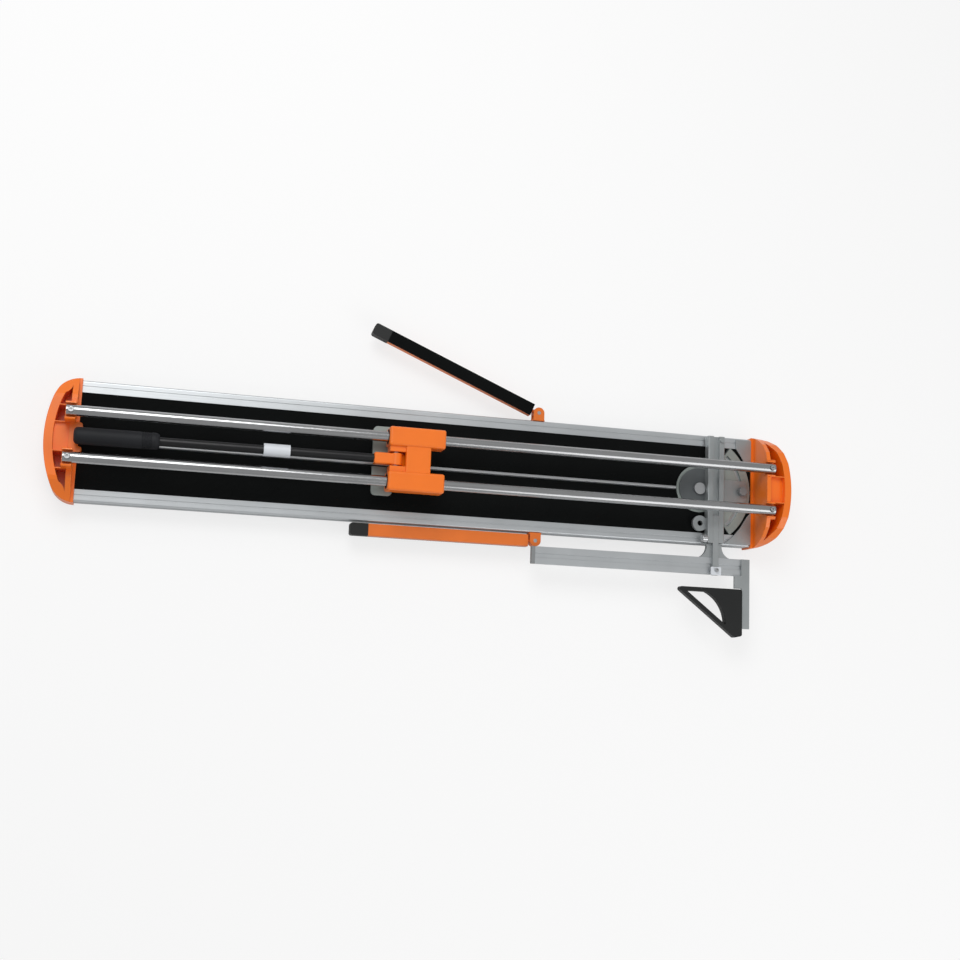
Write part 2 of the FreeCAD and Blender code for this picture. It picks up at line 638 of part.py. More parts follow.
def carriage():
    """Two bearing blocks joined by a bridge with two lugs for the lever pivot."""
    top = "(rail_height + block_height / 2 - bridge_drop)"
    low = f"({top} - bridge_thick)"
    inner = "(rail_gap / 2 - block_width / 2)"
    far_block = bearing_block()
    bridge = rounded(block(("bridge_left", "bridge_left + bridge_length"), (f"-{inner} - 3", f"{inner} + 3"), (low, top)),
                     3, lambda e: along(e, Y_AXIS) and e.CenterOfMass.z > num(top) - 1)
    lugs = [block(("pivot_x - 15", "bridge_left + 2"), (a, b), ("pivot_z - 14", "pivot_z + 15"))
            for a, b in (("lug_inner", f"{inner} + 2"), (f"-{inner} - 2", "-lug_inner"))]
    solid = fuse(far_block, mirrored(far_block, Y_AXIS), bridge, *lugs)
    tools = [rod("X", "rail_dia / 2 + run_gap + bush_wall + run_gap", ("car_left - 1", "car_left + car_length + 1"),
                 (f"{s} * rail_gap / 2", "rail_height")) for s in (1, -1)]
    tools.append(rod("Y", "pivot_dia / 2 + run_gap", (f"-{inner} + 1", f"{inner} - 1"), ("pivot_x", "pivot_z")))
    tools.append(block(("bridge_left - 1", "bridge_left + 34"), ("-head_width / 2 - 1", "head_width / 2 + 1"),
                       (f"{low} - 1", f"{low} + 14")))
    tools += [rod("Z", "guide_dia / 2 + run_gap", (f"{low} - 1", "guide_top + 2"), ("guide_x", f"{s} * guide_y"))
              for s in (1, -1)]
    return cut(solid, *tools)


node("carriage_body", carriage())


def rings(low, high, inner, outer):
    """One ring on each rail between two X values."""
    made = []
    for side in (1, -1):
        at = (f"{side} * rail_gap / 2", "rail_height")
        made.append(cut(rod("X", outer, (low, high), at), rod("X", inner, (f"({low}) - 1", f"({high}) + 1"), at)))
    return made


CAR_END = "(car_left + car_length)"
BUSH = "rail_dia / 2 + run_gap + bush_wall"
node("rail_bushings", group(
    *rings("car_left + wiper_length", "car_left + wiper_length + bush_length", "rail_dia / 2 + run_gap", BUSH),
    *rings(f"{CAR_END} - wiper_length - bush_length", f"{CAR_END} - wiper_length", "rail_dia / 2 + run_gap", BUSH)))
node("rail_wipers", group(
    *rings("car_left", "car_left + wiper_length", "rail_dia / 2 + fit_gap", BUSH),
    *rings(f"{CAR_END} - wiper_length", CAR_END, "rail_dia / 2 + fit_gap", BUSH)))
PIN_END = "(rail_gap / 2 - block_width / 2 - 1.5)"
node("lever_pivot_pin", rod("Y", "pivot_dia / 2", (f"-{PIN_END}", PIN_END), ("pivot_x", "pivot_z")))

# ---------------------------------------------------------------- breaker foot
FOOT_TOP = "(foot_low + foot_thick)"


def breaker_foot():
    """Plate with a wing on each side and an opening for the scoring wheel."""
    middle = block(("foot_left", "foot_right"), ("-foot_half", "foot_half"), ("foot_low", FOOT_TOP))
    wings = block(("foot_left", "foot_left + wing_length"), ("-wing_reach", "wing_reach"), ("foot_low", FOOT_TOP))
    wings = rounded(wings, 9, lambda e: along(e, Z_AXIS))
    window = block(("window_left", "window_right"), ("-foot_window", "foot_window"), ("foot_low - 1", f"{FOOT_TOP} + 1"))
    holes = [rod("Z", "guide_dia / 2 + run_gap", ("foot_low - 1", f"{FOOT_TOP} + 1"), ("guide_x", f"{s} * guide_y"))
             for s in (1, -1)]
    return cut(fuse(middle, wings), rounded(window, 6, lambda e: along(e, Z_AXIS)), *holes)


node("breaker_foot", breaker_foot())
shoe = rounded(block(("foot_left + 3", "foot_left + wing_length - 3"), ("shoe_inner", "wing_reach - 2"),
                     ("foot_low - shoe_thick", "foot_low")), 6, lambda e: along(e, Z_AXIS))
node("breaker_shoes", group(shoe, mirrored(shoe, Y_AXIS)))
node("foot_guide_pins", group(*[rod("Z", "guide_dia / 2", ("foot_low", "guide_top"), ("guide_x", f"{s} * guide_y"))
                                for s in (1, -1)]))


def return_bellows(side):
    """Ribbed rubber bellows round one guide pin that pulls the foot back up to the bridge."""
    low = num(FOOT_TOP) + 0.05
    high = num("rail_height + block_height / 2 - bridge_drop - bridge_thick") - 0.05
    count, outer, bore = int(num("bellows_ribs")), num("bellows_dia / 2"), num("guide_dia / 2 + fit_gap")
    step = (high - low) / count
    line = [Vector(bore, 0, high), Vector(bore, 0, low), Vector(outer - 1.5, 0, low)]
    for k in range(count):
        line += [Vector(outer, 0, low + step * (k + 0.35)), Vector(outer, 0, low + step * (k + 0.65)),
                 Vector(outer - 1.5, 0, low + step * (k + 1))]
    solid = Part.Face(Part.makePolygon(line + line[:1])).revolve(Vector(), Z_AXIS, 360)
    solid.translate(Vector(num("guide_x"), side * num("guide_y"), 0))
    return solid


node("return_bellows", shaped(Part.makeCompound([return_bellows(1), return_bellows(-1)])))


# ---------------------------------------------------------------- lever, drawn about its pivot with the grip at -X
def lever_pose(obj, extra=0.0):
    """Turns a piece drawn about the origin down by the droop and moves it to the pivot."""
    turn = Rotation(Y_AXIS, -num("lever_droop") + extra)
    return moved(obj, Placement(Vector(num("pivot_x"), 0, num("pivot_z")), turn))


def lever_head():
    """Head with the pivot hole, a socket for the bar and a stub for the wheel holder."""
    half = "head_width / 2"
    hub = rod("Y", "head_round", (f"-{half}", half), ("0", "0"))
    arm = rounded(block(("-head_length", "0"), (f"-{half}", half), ("-head_height / 2", "head_height / 2")), 4,
                  lambda e: abs(e.CenterOfMass.x + num("head_length")) < 0.01 or along(e, X_AXIS))
    stub = block(("0", "fork_start"), (f"-{half}", half), ("-fork_height / 2 - 1", "fork_height / 2 + 1"))
    stub = moved(stub, Placement(Vector(), Rotation(Y_AXIS, num("wheel_angle"))))
    head = fuse(hub, arm, stub)
    return cut(head, rod("Y", "pivot_dia / 2 + run_gap", ("-head_width", "head_width"), ("0", "0")),
               rod("X", "bar_dia / 2 + run_gap", ("-head_length - 1", "-bar_start"), ("0", "0")))


node("lever_head", lever_pose(lever_head()))
BAR = ("-lever_reach + grip_length - grip_bore", "-bar_start")
node("lever_bar", lever_pose(cut(rod("X", "bar_dia / 2", BAR, ("0", "0")),
                                 rod("X", "bar_dia / 2 - 2", (f"{BAR[0]} - 1", f"{BAR[1]} + 1"), ("0", "0")))))


def grip():
    """Turned grip with a rounded end and shallow rings."""
    end, start, r = -num("lever_reach"), -num("lever_reach - grip_length"), num("grip_dia / 2")
    hole, deep = num("bar_dia / 2 + run_gap"), -num("lever_reach - grip_length + grip_bore")
    line = [(end, 0), (end, r - 6), (end + 1.5, r - 3), (end + 4, r - 0.8), (end + 8, r)]
    for k in range(5):
        x = start - 34 + 4 * k
        line += [(x, r), (x + 0.8, r - 1), (x + 2, r - 1), (x + 2.8, r)]
    line += [(start - 8, r), (start - 3, r - 1.5), (start, r - 4), (start, hole), (deep, hole), (deep, 0)]
    return revolve("grip", line)


node("lever_grip", lever_pose(grip()))
collar = cut(rod("X", "label_dia / 2", ("-label_start - label_length", "-label_start"), ("0", "0")),
             rod("X", "bar_dia / 2 + run_gap", ("-label_start - label_length - 1", "-label_start + 1"), ("0", "0")))
node("lever_collar", lever_pose(collar))


def wheel_holder():
    """Fork that carries the scoring wheel."""
    half, tall = "fork_width / 2", "fork_height / 2"
    bar = rounded(block(("fork_start", "wheel_reach + 7"), (f"-{half}", half), (f"-{tall}", tall)), 6,
                  lambda e: along(e, Y_AXIS) and e.CenterOfMass.x > num("wheel_reach"))
    gap = "wheel_thick / 2 + 0.4"
    return cut(bar, block(("wheel_reach - wheel_dia / 2 - 1", "wheel_reach + 20"), (f"-({gap})", gap), ("-20", "20")),
               rod("Y", "axle_dia / 2 + run_gap", ("-20", "20"), ("wheel_reach", "0")))


TURN_DOWN = num("wheel_angle")
node("wheel_holder", lever_pose(wheel_holder(), TURN_DOWN))


def scoring_wheel():
    """Thin wheel with a sharp edge."""
    r, half, flat = num("wheel_dia / 2"), num("wheel_thick / 2"), 0.3
    disc = cut(rod("Y", "wheel_dia / 2", ("-wheel_thick / 2", "wheel_thick / 2"), ("0", "0")),
               rod("Y", "axle_dia / 2 + run_gap", ("-5", "5"), ("0", "0")))
    rim = [Vector(r - 2.2, half, 0), Vector(r + 1, half, 0), Vector(r + 1, flat * 0.2, 0), Vector(r - 0.2, flat * 0.2, 0)]
    cutters = []
    for side in (1, -1):
        face = Part.Face(Part.makePolygon([Vector(p.x, side * p.y, 0) for p in rim + rim[:1]]))
        cutters.append(face.revolve(Vector(), Y_AXIS, 360))
    made = cut(disc, shaped(Part.makeCompound(cutters)))
    return moved(made, Placement(Vector(num("wheel_reach"), 0, 0), Rotation()))


node("scoring_wheel", lever_pose(scoring_wheel(), TURN_DOWN))
node("wheel_axle", lever_pose(rod("Y", "axle_dia / 2", ("-fork_width / 2", "fork_width / 2"), ("wheel_reach", "0")),
                              TURN_DOWN))

# ---------------------------------------------------------------- swivelling fence
BASE_TOP = "(table_top + 2)"
FENCE_LOW = f"({BASE_TOP} + turntable_thick)"
FENCE_TOP = f"({FENCE_LOW} + fence_height)"


def angle_plate():
    """Fixed base of the fence swivel: a round plate with an angle scale and a locking slot."""
    low, top = num(PLATE_TOP), num(BASE_TOP)
    body = swivel_footprint(low, top, 0.0)
    body = body.cut(Part.makeBox(400, num("spine_rib"), 50, Vector(400, -num("spine_rib / 2"), low - 49)))
    slot_half = num("sector_slot_width / 2")
    slot = sector(num("sector_slot") + slot_half, 49, low - 1, top + 1, num("sector_slot") - slot_half)
    marks = []
    for k in range(-10, 11):
        tick = Part.makeBox(6 if k % 2 else 10, 0.8, 1, Vector(num("sector_radius") - 11, -0.4, top - 0.4))
        tick.rotate(Vector(), Z_AXIS, 4.8 * k)
        tick.translate(Vector(num("swivel_x"), 0, 0))
        marks.append(tick)
    stud = Part.makeCylinder(num("swivel_dia / 2 + run_gap"), 60, Vector(num("swivel_x"), 0, low - 20))
    body = body.cut([slot, stud] + marks)
    clear = Part.makeBox(200, 400, 40, Vector(FACE_X, -200, low - 5))
    return shaped(body.cut(clear).removeSplitter())


node("angle_plate", angle_plate())
node("swivel_stud", fuse(rod("Z", "swivel_dia / 2", (STUD_FLOOR, f"{FENCE_LOW} + 4"), ("swivel_x", "0")),
                         rod("Z", "13", (FENCE_LOW + " + 0.3", f"{FENCE_LOW} + 6"), ("swivel_x", "0"))))


def turntable():
    """Round plate under the fence."""
    disc = rod("Z", "table_disc", (BASE_TOP, FENCE_LOW), ("swivel_x", "0"))
    return cut(disc, rod("Z", "swivel_dia / 2 + run_gap", (f"{BASE_TOP} - 9", f"{FENCE_LOW} + 9"), ("swivel_x", "0")))


def pointer():
    """Plate from the turntable to the angle scale, with a notch to read the scale by and a hole for the lock."""
    plate = rounded(block(("swivel_x + 20", "swivel_x + sector_slot + 12"), ("-24", "24"), (BASE_TOP, FENCE_LOW)), 8,
                    lambda e: along(e, Z_AXIS) and e.CenterOfMass.x > num("swivel_x") + 60)
    notch = block(("swivel_x + sector_slot + 8", "swivel_x + sector_slot + 20"), ("-1", "1"), ("0", "99"))
    return cut(plate, notch, rod("Z", "table_disc + 0.1", ("0", "99"), ("swivel_x", "0")),
               rod("Z", "3.3", ("0", "99"), ("swivel_x + sector_slot", "0")))


node("fence_turntable", turntable())
node("fence_pointer", pointer())
FENCE_X = ("swivel_x + fence_front", "swivel_x + fence_front + fence_width")
GROOVE_X = ("swivel_x + fence_front + fence_width / 2 - groove_width / 2",
            "swivel_x + fence_front + fence_width / 2 + groove_width / 2")
LOCK_Y, LOCK_R = -112, 3


def fence_bar():
    """Extruded fence with a groove for the sliding bar and a threaded hole for its lock screw."""
    bar = block(FENCE_X, ("-fence_near", "fence_far"), (FENCE_LOW, FENCE_TOP))
    bar = rounded(bar, 2, lambda e: along(e, Y_AXIS) and e.CenterOfMass.z > num(FENCE_TOP) - 1)
    groove = block(GROOVE_X, ("-fence_near - 1", "fence_far + 1"), (f"{FENCE_TOP} - groove_depth", f"{FENCE_TOP} + 1"))
    hollow = [block((a, b), ("-fence_near - 1", "fence_far + 1"), (f"{FENCE_LOW} + 3", f"{FENCE_TOP} - 3"))
              for a, b in ((f"{FENCE_X[0]} + 3", f"{GROOVE_X[0]} - 3"), (f"{GROOVE_X[1]} + 3", f"{FENCE_X[1]} - 3"))]
    hole = rod("X", f"{LOCK_R} + run_gap", (f"{FENCE_X[0]} - 1", f"{GROOVE_X[0]} + 1"),
               (f"{LOCK_Y}", f"{FENCE_TOP} - groove_depth / 2"))
    lobe = rod("Z", "lobe_dia / 2", (FENCE_LOW, f"{FENCE_LOW} + 8"), ("swivel_x", "-lobe_y"))
    web = block(("swivel_x", f"{FENCE_X[0]} + 1"), ("-lobe_y - 12", "-lobe_y + 12"), (FENCE_LOW, f"{FENCE_LOW} + 8"))
    peg = rod("Z", "5", (f"{FENCE_TOP} - 1", f"{FENCE_TOP} + 4"), (f"{FENCE_X[1]} - 7", "fence_far - 9"))
    eye = rod("Z", "6", ("0", "99"), ("swivel_x", "-lobe_y"))
    return cut(fuse(cut(bar, groove, *hollow, hole), lobe, web, peg), eye)


node("fence_bar", fence_bar())


def knob(radius, height, ribs):
    """Ribbed hand knob standing on z = 0."""
    body = Part.makeCylinder(radius, height)
    body = body.makeFillet(1.5, [e for e in body.Edges if abs(e.CenterOfMass.z - height) < 0.01])
    for k in range(ribs):
        groove = Part.makeCylinder(radius * 0.16, height * 2, Vector(radius * 1.06, 0, -1))
        groove.rotate(Vector(), Z_AXIS, 360 * k / ribs)
        body = body.cut(groove)
    return body


def lock_knob():
    """Knob with a threaded stem and a nut that grips the angle plate through its slot."""
    made = knob(10, 12, 8)
    made.translate(Vector(0, 0, num(FENCE_LOW) + 0.3))
    stem = Part.makeCylinder(3, num(FENCE_LOW) - num(PLATE_TOP) + 1, Vector(0, 0, num(PLATE_TOP) + 0.4))
    made = made.fuse(stem)
    made.translate(Vector(num("swivel_x + sector_slot"), 0, 0))
    return made


node("fence_lock_knob", shaped(lock_knob()))


def lock_screw():
    """Thumb screw through the side of the fence, with its tip against the sliding bar."""
    tip = num(GROOVE_X[0]) + 0.1
    face = num(FENCE_X[0])
    made = Part.makeCylinder(LOCK_R, tip - face + 3, Vector(0, 0, -3))
    head = knob(8, 12, 6)
    head.rotate(Vector(), X_AXIS, 180)
    head.translate(Vector(0, 0, -0.6))
    made = made.fuse(head)
    made.Placement = Placement(Vector(face, LOCK_Y, num(f"{FENCE_TOP} - groove_depth / 2")), Rotation(Y_AXIS, 90))
    return made


node("slider_lock_screw", shaped(lock_screw()))

# ---------------------------------------------------------------- sliding bar, side ruler and square
BAR_LOW = f"({FENCE_TOP} - groove_depth)"
RULER_OUT = "(ruler_inner + ruler_width)"
RULER_LOW = f"({BAR_LOW} - ruler_height)"
RULER_SCREW = [(num("swivel_x + fence_front + fence_width / 2"), -num("ruler_inner") - 28, num(FENCE_TOP) + 3)]
slide_bar = block((f"{GROOVE_X[0]} + fit_gap", f"{GROOVE_X[1]} - fit_gap"), (f"-{RULER_OUT} - 2", "-slide_in"),
                  (BAR_LOW, FENCE_TOP))


def flare():
    """Bracket that widens in a curve from the fence to the side ruler."""
    middle, near = num("swivel_x + fence_front + fence_width / 2"), -num("fence_near") - 2
    out, low = -num("ruler_inner"), num(FENCE_LOW)
    root, wide = num("flare_root / 2"), num("flare_width / 2")

    def curve(side):
        start, end = Vector(middle + side * root, near, low), Vector(middle + side * wide, out, low)
        return start, end, Part.Arc(start, Vector(middle + side * (root + 3), near - 18, low), end).toShape()

    start_right, end_right, right = curve(1)
    start_left, end_left, left = curve(-1)
    edges = [right, Part.makeLine(end_right, end_left), left, Part.makeLine(start_left, start_right)]
    face = Part.Face(Part.Wire(Part.__sortEdges__(edges)))
    return shaped(face.extrude(Vector(0, 0, num(BAR_LOW) - low)))


node("sliding_bar", drilled(fuse(slide_bar, flare()), 5, 16, RULER_SCREW, (0, 0, -1)))
clamp = rounded(block((f"{GROOVE_X[0]} - 5", f"{GROOVE_X[1]} + 5"), (f"-{RULER_OUT} - 2", f"-{RULER_OUT} + 16"),
                      (FENCE_TOP, f"{FENCE_TOP} + 3")), 2, lambda e: along(e, Z_AXIS))
node("ruler_clamp", drilled(clamp, 5, 16, RULER_SCREW, (0, 0, -1)))


def ruler():
    """Side ruler with a lengthwise groove."""
    bar = block(("ruler_left + cap_length", "ruler_right - cap_length"), (f"-{RULER_OUT}", "-ruler_inner"),
                (RULER_LOW, BAR_LOW))
    groove = block(("ruler_left", "ruler_right"), ("-ruler_inner - 24", "-ruler_inner - 14"),
                   (f"{BAR_LOW} - 2", f"{BAR_LOW} + 1"))
    hollow = block(("ruler_left", "ruler_right"), (f"-{RULER_OUT} + 2.5", "-ruler_inner - 2.5"),
                   (f"{RULER_LOW} + 2", f"{BAR_LOW} - 4.5"))
    return cut(bar, groove, hollow)


node("side_ruler", drilled(ruler(), 5, 16, RULER_SCREW, (0, 0, -1)))
screws("ruler_screw", 5, 14, RULER_SCREW, (0, 0, -1))
caps = [block((a, b), (f"-{RULER_OUT}", "-ruler_inner"), (RULER_LOW, BAR_LOW))
        for a, b in (("ruler_left", "ruler_left + cap_length"), ("ruler_right - cap_length", "ruler_right"))]
caps = [rounded(cap, 1.5, lambda e: along(e, Z_AXIS) and (e.CenterOfMass.x < num("ruler_left") + 1
                                                        or e.CenterOfMass.x > num("ruler_right") - 1)) for cap in caps]
node("ruler_end_caps", group(*caps))
SQUARE_TOP = f"({BAR_LOW} + square_thick)"
strip = block(("square_strip", "ruler_right"), ("-square_reach", "-ruler_inner"), (BAR_LOW, SQUARE_TOP))
neck = block(("square_neck", "square_strip"), ("-grip_top + 2", f"-{RULER_OUT}"), (BAR_LOW, SQUARE_TOP))
node("square_plate", fuse(strip, neck))


def triangle_grip():
    """Flat triangular hand grip: thin top and slanted sides, a broad right side, and a curved opening."""
    x0, x1 = num("grip_point"), num("square_strip")
    y0, y1 = -num("grip_top"), -num("grip_end")
    low, tall, edge = num(BAR_LOW) - 6, num("grip_thick"), num("grip_edge")
    tip = Vector(x1 - 18, y1 + 4, low)
    corner = Vector(x0, y0, low)
    face = Part.Face(Part.makePolygon([corner, Vector(x1, y0, low), Vector(x1, y1 + 8, low), tip, corner]))
    body = face.extrude(Vector(0, 0, tall))
    body = body.makeFillet(5, [e for e in body.Edges if along(e, Z_AXIS)])
    slant = (tip - corner).normalize()
    start = corner + Vector(-slant.y, slant.x, 0) * edge

    def on_slant(y):
        return start + slant * ((y - start.y) / slant.y)

    first, last = on_slant(y0 - edge), on_slant(y0 - 78)
    bend, belly = Vector(first.x + 44, y0 - edge, low), Vector(first.x + 76, y0 - 34, low)
    edges = [Part.makeLine(first, bend), Part.Arc(bend, belly, last).toShape(), Part.makeLine(last, first)]
    window = Part.Face(Part.Wire(edges)).extrude(Vector(0, 0, tall + 2))
    window.translate(Vector(0, 0, -1))
    body = body.cut(window)
    rims = [e for e in body.Edges if abs(e.CenterOfMass.z - low - tall) < 0.01]
    return shaped(body.makeFillet(1.2, rims))


node("triangle_grip", triangle_grip())


# ---------------------------------------------------------------- swing-out arms, drawn with the hinge at the origin
def arm_place(obj, side):
    """Moves a piece of an arm to its hinge: the near arm lies folded, the far arm stands open."""
    turn = Rotation(Z_AXIS, -num("arm_open")) if side > 0 else Rotation()
    return moved(obj, Placement(Vector(num("arm_x"), side * num("arm_y"), num("arm_z")), turn))


def flipped(obj, side):
    """The near arm's tread faces down."""
    return moved(obj, Placement(Vector(), Rotation(X_AXIS, 0 if side > 0 else 180)))


def arm_channel():
    """Channel with a solid root that turns on the spigot."""
    half, tall = "arm_width / 2", "arm_thick / 2"
    tip = "(-arm_reach + arm_cap)"
    bar = block((tip, "-arm_root"), (f"-{half}", half), (f"-{tall}", f"{tall} - arm_rubber"))
    bar = rounded(bar, 2.5, lambda e: along(e, X_AXIS) and e.CenterOfMass.z < 0)
    hollow = block((f"{tip} - 1", "-arm_root - 30"), (f"-{half} + arm_wall", f"{half} - arm_wall"),
                   (f"-{tall} + arm_wall", f"{tall} - arm_rubber + 1"))
    return cut(bar, hollow, rod("X", "spigot_dia / 2 + run_gap", ("-arm_root - 26", "-arm_root + 1"), ("0", "0")))


def arm_tread():
    """Rubber tread on the channel."""
    tip, half, tall = "(-arm_reach + arm_cap)", "arm_width / 2", "arm_thick / 2"
    return block((tip, "-arm_root"), (f"-{half}", half), (f"{tall} - arm_rubber", tall))


def arm_end_cap():
    """Plastic end cap with a plug inside the channel."""
    tip, half, tall = "(-arm_reach + arm_cap)", "arm_width / 2", "arm_thick / 2"
    cap = rounded(block(("-arm_reach", tip), (f"-{half}", half), (f"-{tall}", tall)), 5,
                  lambda e: along(e, Z_AXIS) and e.CenterOfMass.x < -num("arm_reach") + 1)
    plug = block((f"{tip} - 1", f"{tip} + 12"), (f"-{half} + arm_wall + fit_gap", f"{half} - arm_wall - fit_gap"),
                 (f"-{tall} + arm_wall + fit_gap", f"{tall} - arm_rubber - fit_gap"))
    return fuse(cap, plug)


def arm_knuckle():
    """Knuckle round the hinge pin with the spigot that the arm turns on."""
    tall = "(knuckle_height / 2 - fit_gap)"
    eye = rod("Z", "knuckle_dia / 2", (f"-{tall}", tall), ("0", "0"))
    spigot = rod("X", "spigot_dia / 2", ("-arm_root - 25", "-hinge_dia / 2 - 3"), ("0", "0"))
    return cut(fuse(eye, spigot), rod("Z", "hinge_dia / 2 + run_gap", ("-20", "20"), ("0", "0")))


def arm_bracket():
    """Two ears and a back plate on the outside of the far side profile."""
    back, depth = "base_width / 2", "arm_y - base_width / 2"
    plate = block(("arm_x - 14", "arm_x + 14"), (back, f"{back} + 3.5"), ("arm_z - arm_thick / 2", "arm_z + arm_thick / 2 - 4"))
    parts = [plate]
    for low in ("arm_z - arm_thick / 2", "arm_z + arm_thick / 2 - ear_thick"):
        parts.append(block(("arm_x - 12", "arm_x + 12"), (f"{back} + fit_gap", f"{back} + {depth}"),
                           (low, f"{low} + ear_thick")))
        parts.append(rod("Z", "12", (low, f"{low} + ear_thick"), ("arm_x", "arm_y")))
    return cut(fuse(*parts), rod("Z", "hinge_dia / 2 + run_gap", ("0", "100"), ("arm_x", "arm_y")))


bracket = arm_bracket()
for side, name in ((1, "far"), (-1, "near")):
    node(f"{name}_arm_bracket", bracket if side > 0 else mirrored(bracket, Y_AXIS))
    pin = fuse(rod("Z", "hinge_dia / 2", ("arm_z - arm_thick / 2 - 3", "arm_z + arm_thick / 2"), ("arm_x", f"{side} * arm_y")),
               rod("Z", "6.5", ("arm_z - arm_thick / 2 - 3", "arm_z - arm_thick / 2"), ("arm_x", f"{side} * arm_y")))
    node(f"{name}_arm_hinge_pin", pin)
    node(f"{name}_arm_knuckle", arm_place(arm_knuckle(), side))
    node(f"{name}_arm_channel", arm_place(flipped(arm_channel(), side), side))
    node(f"{name}_arm_tread", arm_place(flipped(arm_tread(), side), side))
    node(f"{name}_arm_end_cap", arm_place(flipped(arm_end_cap(), side), side))


# ---------------------------------------------------------------- check and write
doc.recompute()
for obj in doc.Objects:
    if "Invalid" in obj.State or "Error" in obj.State:
        raise RuntimeError(f"{obj.Name} did not recompute")
os.makedirs("parts", exist_ok=True)
for name, obj in nodes:
    shape = obj.Shape
    if shape.isNull() or not shape.isValid() or not shape.Solids:
        raise RuntimeError(f"{name} is not a valid solid")
    shape.exportStep(f"parts/{name}.step")
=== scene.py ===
# %% [markdown]
# # A manual tile cutter
# The tool is a long, low machine. Two chromed rails run over a padded table, a carriage slides on them, and a
# folded lever lies between them. The CAD frame already holds every part at its true size, so this lesson is
# about finishes, light and camera.

# %% Load the frame
import json
import math
import bmesh
import bpy
from mathutils import Matrix, Vector

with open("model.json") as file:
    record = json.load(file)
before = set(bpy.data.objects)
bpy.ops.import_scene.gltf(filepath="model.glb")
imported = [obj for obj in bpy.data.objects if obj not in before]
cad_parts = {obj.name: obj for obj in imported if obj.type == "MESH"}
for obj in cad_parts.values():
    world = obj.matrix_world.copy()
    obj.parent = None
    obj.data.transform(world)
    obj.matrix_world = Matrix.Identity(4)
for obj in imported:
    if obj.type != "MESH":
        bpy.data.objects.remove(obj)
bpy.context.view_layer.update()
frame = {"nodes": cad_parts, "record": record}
print("nodes in the frame:", len(frame["nodes"]))

# %% [markdown]
# ## The view
# The tool is seen from high above its near left end, with the camera rolled so that the long rails run almost
# level across the picture. Building the camera first means that every later test render shows the same view.
# A matrix made from three directions is clearer here than three angles, because the roll is large.

# %% Camera
VIEW_TURN, VIEW_HEIGHT, VIEW_ROLL = (math.radians(a) for a in (-57.694, 73.085, 60.954))
CAMERA_SPOT = Vector((-0.6100, -0.4660, 2.8110))
LENS, FAR_CLIP = 50.74, 50
right = Vector((math.cos(VIEW_TURN), math.sin(VIEW_TURN), 0))
back = Vector((math.sin(VIEW_TURN) * math.cos(VIEW_HEIGHT), -math.cos(VIEW_TURN) * math.cos(VIEW_HEIGHT),
               math.sin(VIEW_HEIGHT)))
up = back.cross(right)
rolled_right = math.cos(VIEW_ROLL) * right + math.sin(VIEW_ROLL) * up
rolled_up = -math.sin(VIEW_ROLL) * right + math.cos(VIEW_ROLL) * up
camera = bpy.data.objects.new("camera", bpy.data.cameras.new("camera"))
camera.data.lens = LENS
camera.data.clip_end = FAR_CLIP
turn = Matrix((rolled_right, rolled_up, back)).transposed()
camera.matrix_world = Matrix.Translation(CAMERA_SPOT) @ turn.to_4x4()
bpy.context.collection.objects.link(camera)
scene = bpy.context.scene
scene.camera = camera
scene.view_settings.view_transform = "Standard"
print("camera is", round(CAMERA_SPOT.z, 2), "m above the floor")

# %% [markdown]
# ## Small helpers for node trees
# A finish is a short chain of nodes: a pattern in Object coordinates, a ramp that turns it into a value, and
# the shader. Four helpers keep each finish to a few readable lines.


# %% Node helpers
def add(tree, kind, links=(), **values):
    """A new node. values set its properties or inputs, links pairs an input's name or number with an output."""
    made = tree.nodes.new(kind)
    for name, value in values.items():
        if hasattr(made, name):
            setattr(made, name, value)
        else:
            made.inputs[name.replace("_", " ")].default_value = value
    for socket, source in links:
        tree.links.new(source, made.inputs[socket])
    return made


def stretched(tree, scale):
    """Object coordinates, squeezed or stretched along each axis."""
    spot = add(tree, "ShaderNodeTexCoord")
    grid = add(tree, "ShaderNodeMapping", [("Vector", spot.outputs["Object"])])
    grid.inputs["Scale"].default_value = scale
    return grid.outputs["Vector"]


def spread(tree, source, low, high):
    """source, spread from 0..1 to low..high."""
    made = add(tree, "ShaderNodeMapRange", [("Value", source)])
    made.inputs["To Min"].default_value = low
    made.inputs["To Max"].default_value = high
    return made.outputs["Result"]


def narrowed(tree, source, low, high):
    """source, with its stretch from low to high spread over 0..1."""
    made = add(tree, "ShaderNodeMapRange", [("Value", source)])
    made.inputs["From Min"].default_value = low
    made.inputs["From Max"].default_value = high
    return made.outputs["Result"]


print("node helpers: add, stretched, spread, narrowed")


# %% [markdown]
# ## Shared effects
# Three effects come back in most finishes. *Edge wear and highlight* finds the corners of a part by comparing the true
# normal with one rounded over a small radius; it marks wear, and on the orange paints it is also a painted highlight
# where light catches the edges. *Grain* is a fine noise that breaks up colour and gloss.
# *Dust* is a wide, soft noise that lies mostly on faces that look up. Each is one node group, so every
# material can have its own strength.


# %% Effect groups
# The edge mark is wear; on the orange paints its pale salmon colour is also a painted highlight where light catches
# the edges.
CORNER_COSINES = (0.98, 0.72)    # agreement of the two normals where wear starts and where it is full
WEAR_AND_HIGHLIGHT_PATCHES = (0.42, 0.62)      # noise levels between which worn patches fade in
DUST_PATCHES = (0.40, 0.75)      # noise levels between which dust fades in


def new_group(name, inputs, outputs):
    """An empty shader group with float inputs and outputs."""
    tree = bpy.data.node_groups.new(name, "ShaderNodeTree")
    for label, value in inputs:
        socket = tree.interface.new_socket(label, in_out="INPUT", socket_type="NodeSocketFloat")
        socket.default_value = value
    for label, kind in outputs:
        tree.interface.new_socket(label, in_out="OUTPUT", socket_type=kind)
    return tree, tree.nodes.new("NodeGroupInput"), tree.nodes.new("NodeGroupOutput")


